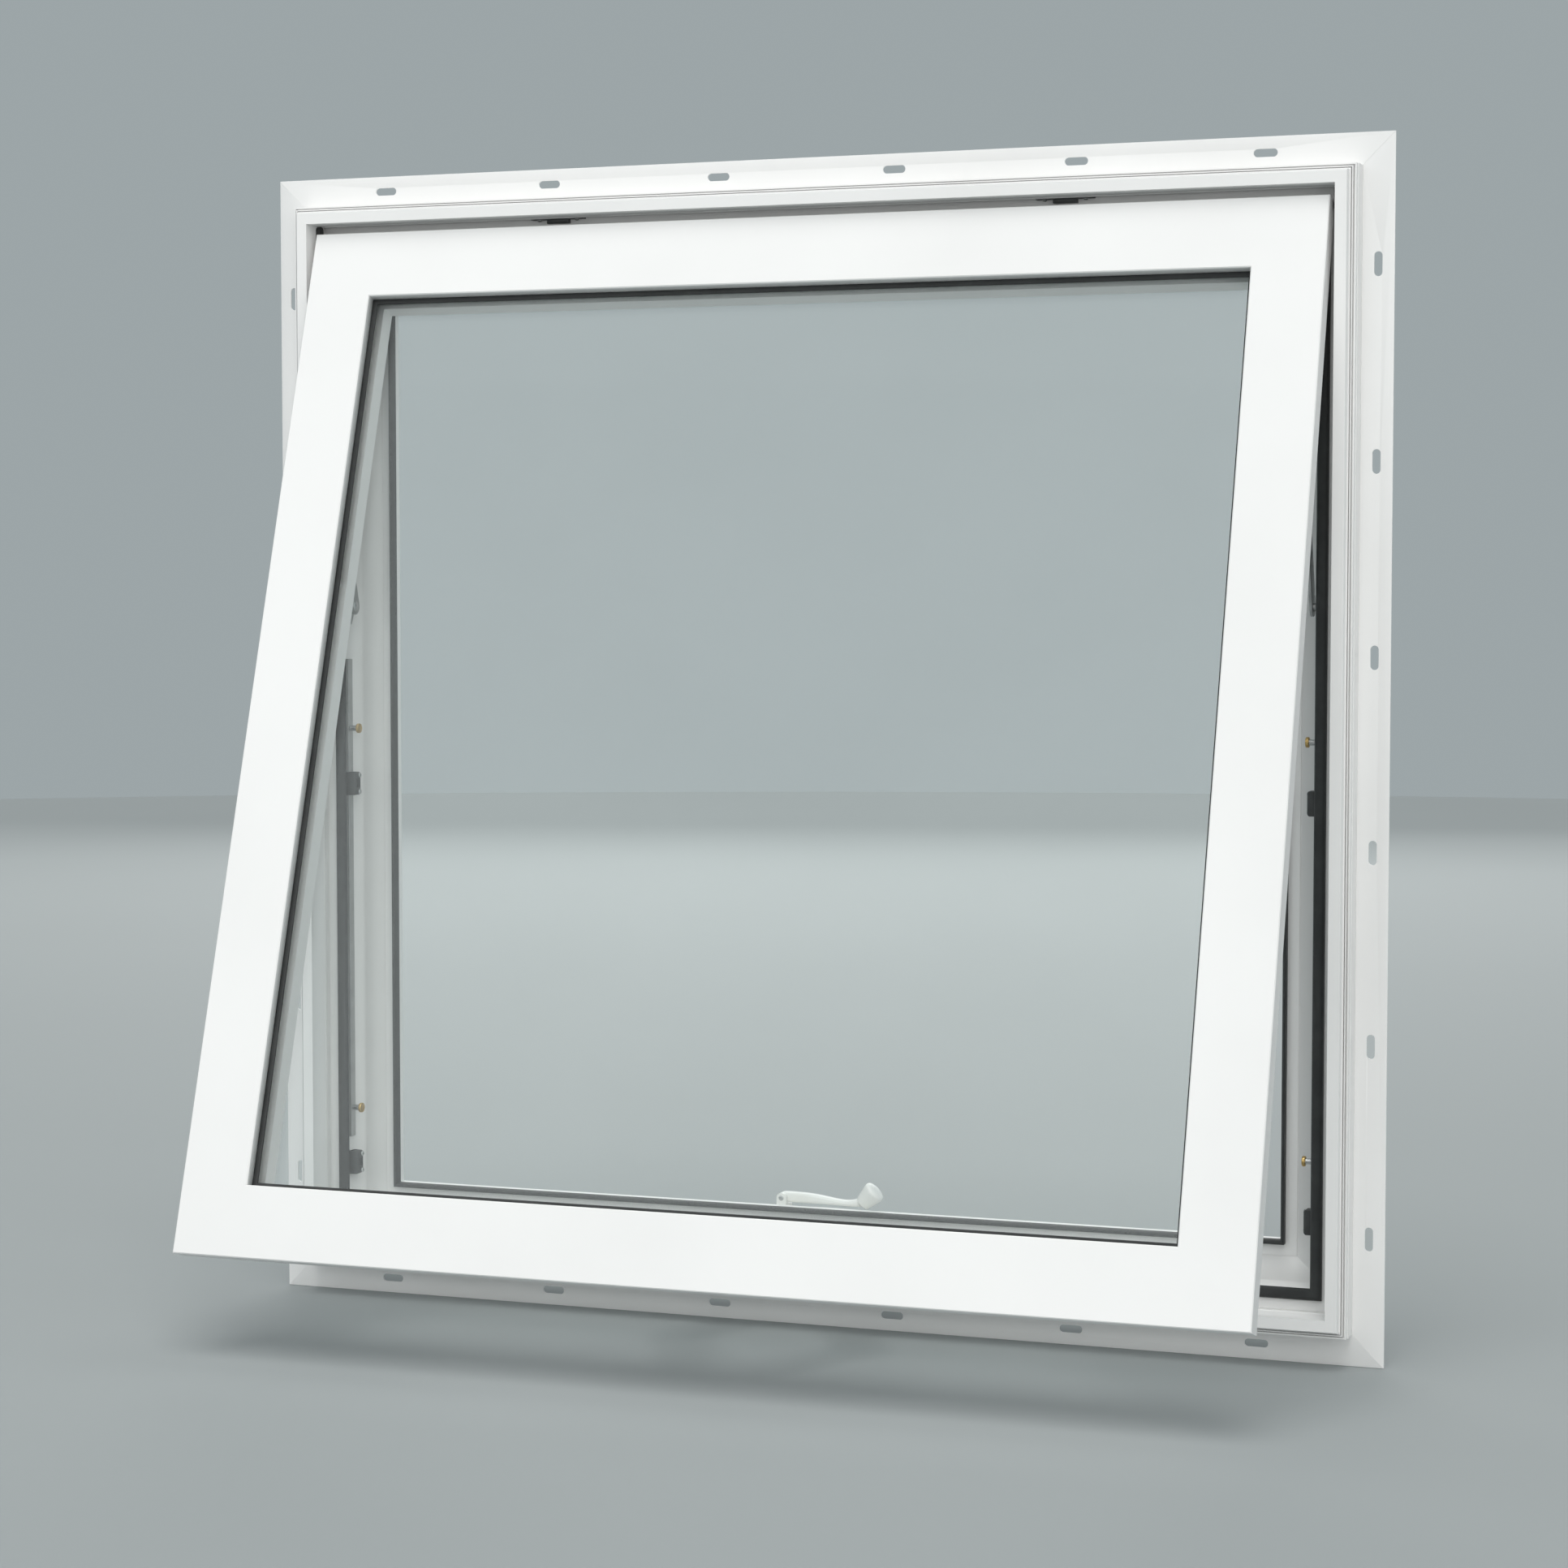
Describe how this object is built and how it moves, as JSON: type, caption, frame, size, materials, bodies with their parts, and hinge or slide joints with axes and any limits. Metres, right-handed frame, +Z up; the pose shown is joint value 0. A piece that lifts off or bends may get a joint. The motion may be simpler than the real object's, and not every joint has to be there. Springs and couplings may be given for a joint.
{
  "type": "top hung awning window",
  "caption": "Top hung awning window with a nail fin frame, a double glazed sash that swings out on friction stays, lock bars with mushroom pins, a scissor operator and a folding crank.",
  "frame": {"origin": "back face of the sill nail fin, on its slot line and the window's centre line", "axes": "+X to the right seen from outside, +Y into the building, +Z up"},
  "size_m": [0.9652, 0.3584, 0.9652],
  "materials": {
    "frame_vinyl": "satin white vinyl extrusion",
    "sash_vinyl": "satin white vinyl extrusion",
    "seal_rubber": "matt black seal",
    "clear_glass": "clear float glass",
    "spacer_grey": "matt warm-edge spacer",
    "stay_steel": "brushed stainless strip",
    "pin_brass": "turned brass",
    "dark_nylon": "matt moulded nylon",
    "hardware_white": "white enamel"
  },
  "bodies": {
    "frame": {"frame_head": "frame_vinyl", "nail_fin_head": "frame_vinyl", "frame_sill": "frame_vinyl", "nail_fin_sill": "frame_vinyl", "frame_jamb_left": "frame_vinyl", "nail_fin_left": "frame_vinyl", "frame_jamb_right": "frame_vinyl", "nail_fin_right": "frame_vinyl", "bulb_seal": "seal_rubber", "stop_seal": "seal_rubber", "stay_track_left": "stay_steel", "stay_track_right": "stay_steel", "alignment_blocks": "dark_nylon", "head_snubbers": "dark_nylon", "operator_base": "stay_steel", "operator_cover": "hardware_white", "crank_boss": "hardware_white"},
    "sash": {"sash_top_rail": "sash_vinyl", "glazing_bead_head": "sash_vinyl", "sash_bottom_rail": "sash_vinyl", "glazing_bead_sill": "sash_vinyl", "sash_stile_left": "sash_vinyl", "glazing_bead_left": "sash_vinyl", "sash_stile_right": "sash_vinyl", "glazing_bead_right": "sash_vinyl", "glazing_seal": "seal_rubber", "glass_spacer": "spacer_grey", "glass_outer": "clear_glass", "glass_inner": "clear_glass", "sash_arm_left": "stay_steel", "sash_arm_right": "stay_steel", "lock_keepers": "stay_steel", "operator_bracket": "stay_steel"},
    "stay_arms": {"stay_arm_left": "stay_steel", "stay_arm_right": "stay_steel"},
    "stay_shoes": {"stay_shoes": "stay_steel"},
    "lock_left": {"lock_bar_left": "stay_steel", "lock_pins_left": "pin_brass"},
    "lock_right": {"lock_bar_right": "stay_steel", "lock_pins_right": "pin_brass"},
    "yoke": {"operator_yoke": "stay_steel"},
    "arm_left": {"operator_arm_left": "stay_steel"},
    "arm_right": {"operator_arm_right": "stay_steel"},
    "link_left": {"operator_link_left": "stay_steel"},
    "link_right": {"operator_link_right": "stay_steel"},
    "handle": {"crank_handle": "hardware_white"}
  },
  "joints": [
    {"name": "sash_swing", "type": "hinge", "parent": "frame", "child": "sash", "pos_m": [0, -0.03673, 0.88238], "axis": [1, 0, 0], "range_deg": [0, 17.35]},
    {"name": "stay_arm_swing", "type": "hinge", "parent": "frame", "child": "stay_arms", "pos_m": [0, 0.0086, 0.5853], "axis": [-1, 0, 0], "range_deg": [0, 17.35]},
    {"name": "stay_shoe_slide", "type": "slide", "parent": "frame", "child": "stay_shoes", "axis": [0, 0, 1], "range_m": [0, 0.01383]},
    {"name": "lock_left_slide", "type": "slide", "parent": "frame", "child": "lock_left", "axis": [0, 0, 1], "range_m": [0, 0.022]},
    {"name": "lock_right_slide", "type": "slide", "parent": "frame", "child": "lock_right", "axis": [0, 0, 1], "range_m": [0, 0.022]},
    {"name": "yoke_pitch", "type": "hinge", "parent": "frame", "child": "yoke", "pos_m": [0, 0.019, 0.0473], "axis": [1, 0, 0], "range_deg": [0, 9.2]},
    {"name": "arm_left_swing", "type": "hinge", "parent": "yoke", "child": "arm_left", "pos_m": [-0.014, 0.019, 0.0473], "axis": [0, -0.0818, -0.9967], "range_deg": [0, 61.91]},
    {"name": "arm_right_swing", "type": "hinge", "parent": "yoke", "child": "arm_right", "pos_m": [0.014, 0.019, 0.0473], "axis": [0, 0.0818, 0.9967], "range_deg": [0, 61.91]},
    {"name": "link_left_fold", "type": "hinge", "parent": "arm_left", "child": "link_left", "pos_m": [-0.08129, -0.10452, 0.05744], "axis": [0, 0.0818, 0.9967], "range_deg": [0, 123.81]},
    {"name": "link_right_fold", "type": "hinge", "parent": "arm_right", "child": "link_right", "pos_m": [0.08129, -0.10452, 0.05744], "axis": [0, -0.0818, -0.9967], "range_deg": [0, 123.81]},
    {"name": "handle_unfold", "type": "hinge", "parent": "frame", "child": "handle", "pos_m": [-0.041, 0.06255, 0.08165], "axis": [0, -1, 0], "range_deg": [0, 150]}
  ],
  "couplings": [
    {"joint": "stay_arm_swing", "follows": "sash_swing", "ratio": 1},
    {"joint": "stay_shoe_slide", "follows": "sash_swing", "m_per_rad": 0.045677},
    {"joint": "yoke_pitch", "follows": "sash_swing", "ratio": 0.53},
    {"joint": "arm_left_swing", "follows": "sash_swing", "ratio": 3.5681},
    {"joint": "link_left_fold", "follows": "sash_swing", "ratio": 7.1362},
    {"joint": "arm_right_swing", "follows": "sash_swing", "ratio": 3.5681},
    {"joint": "link_right_fold", "follows": "sash_swing", "ratio": 7.1362}
  ]
}
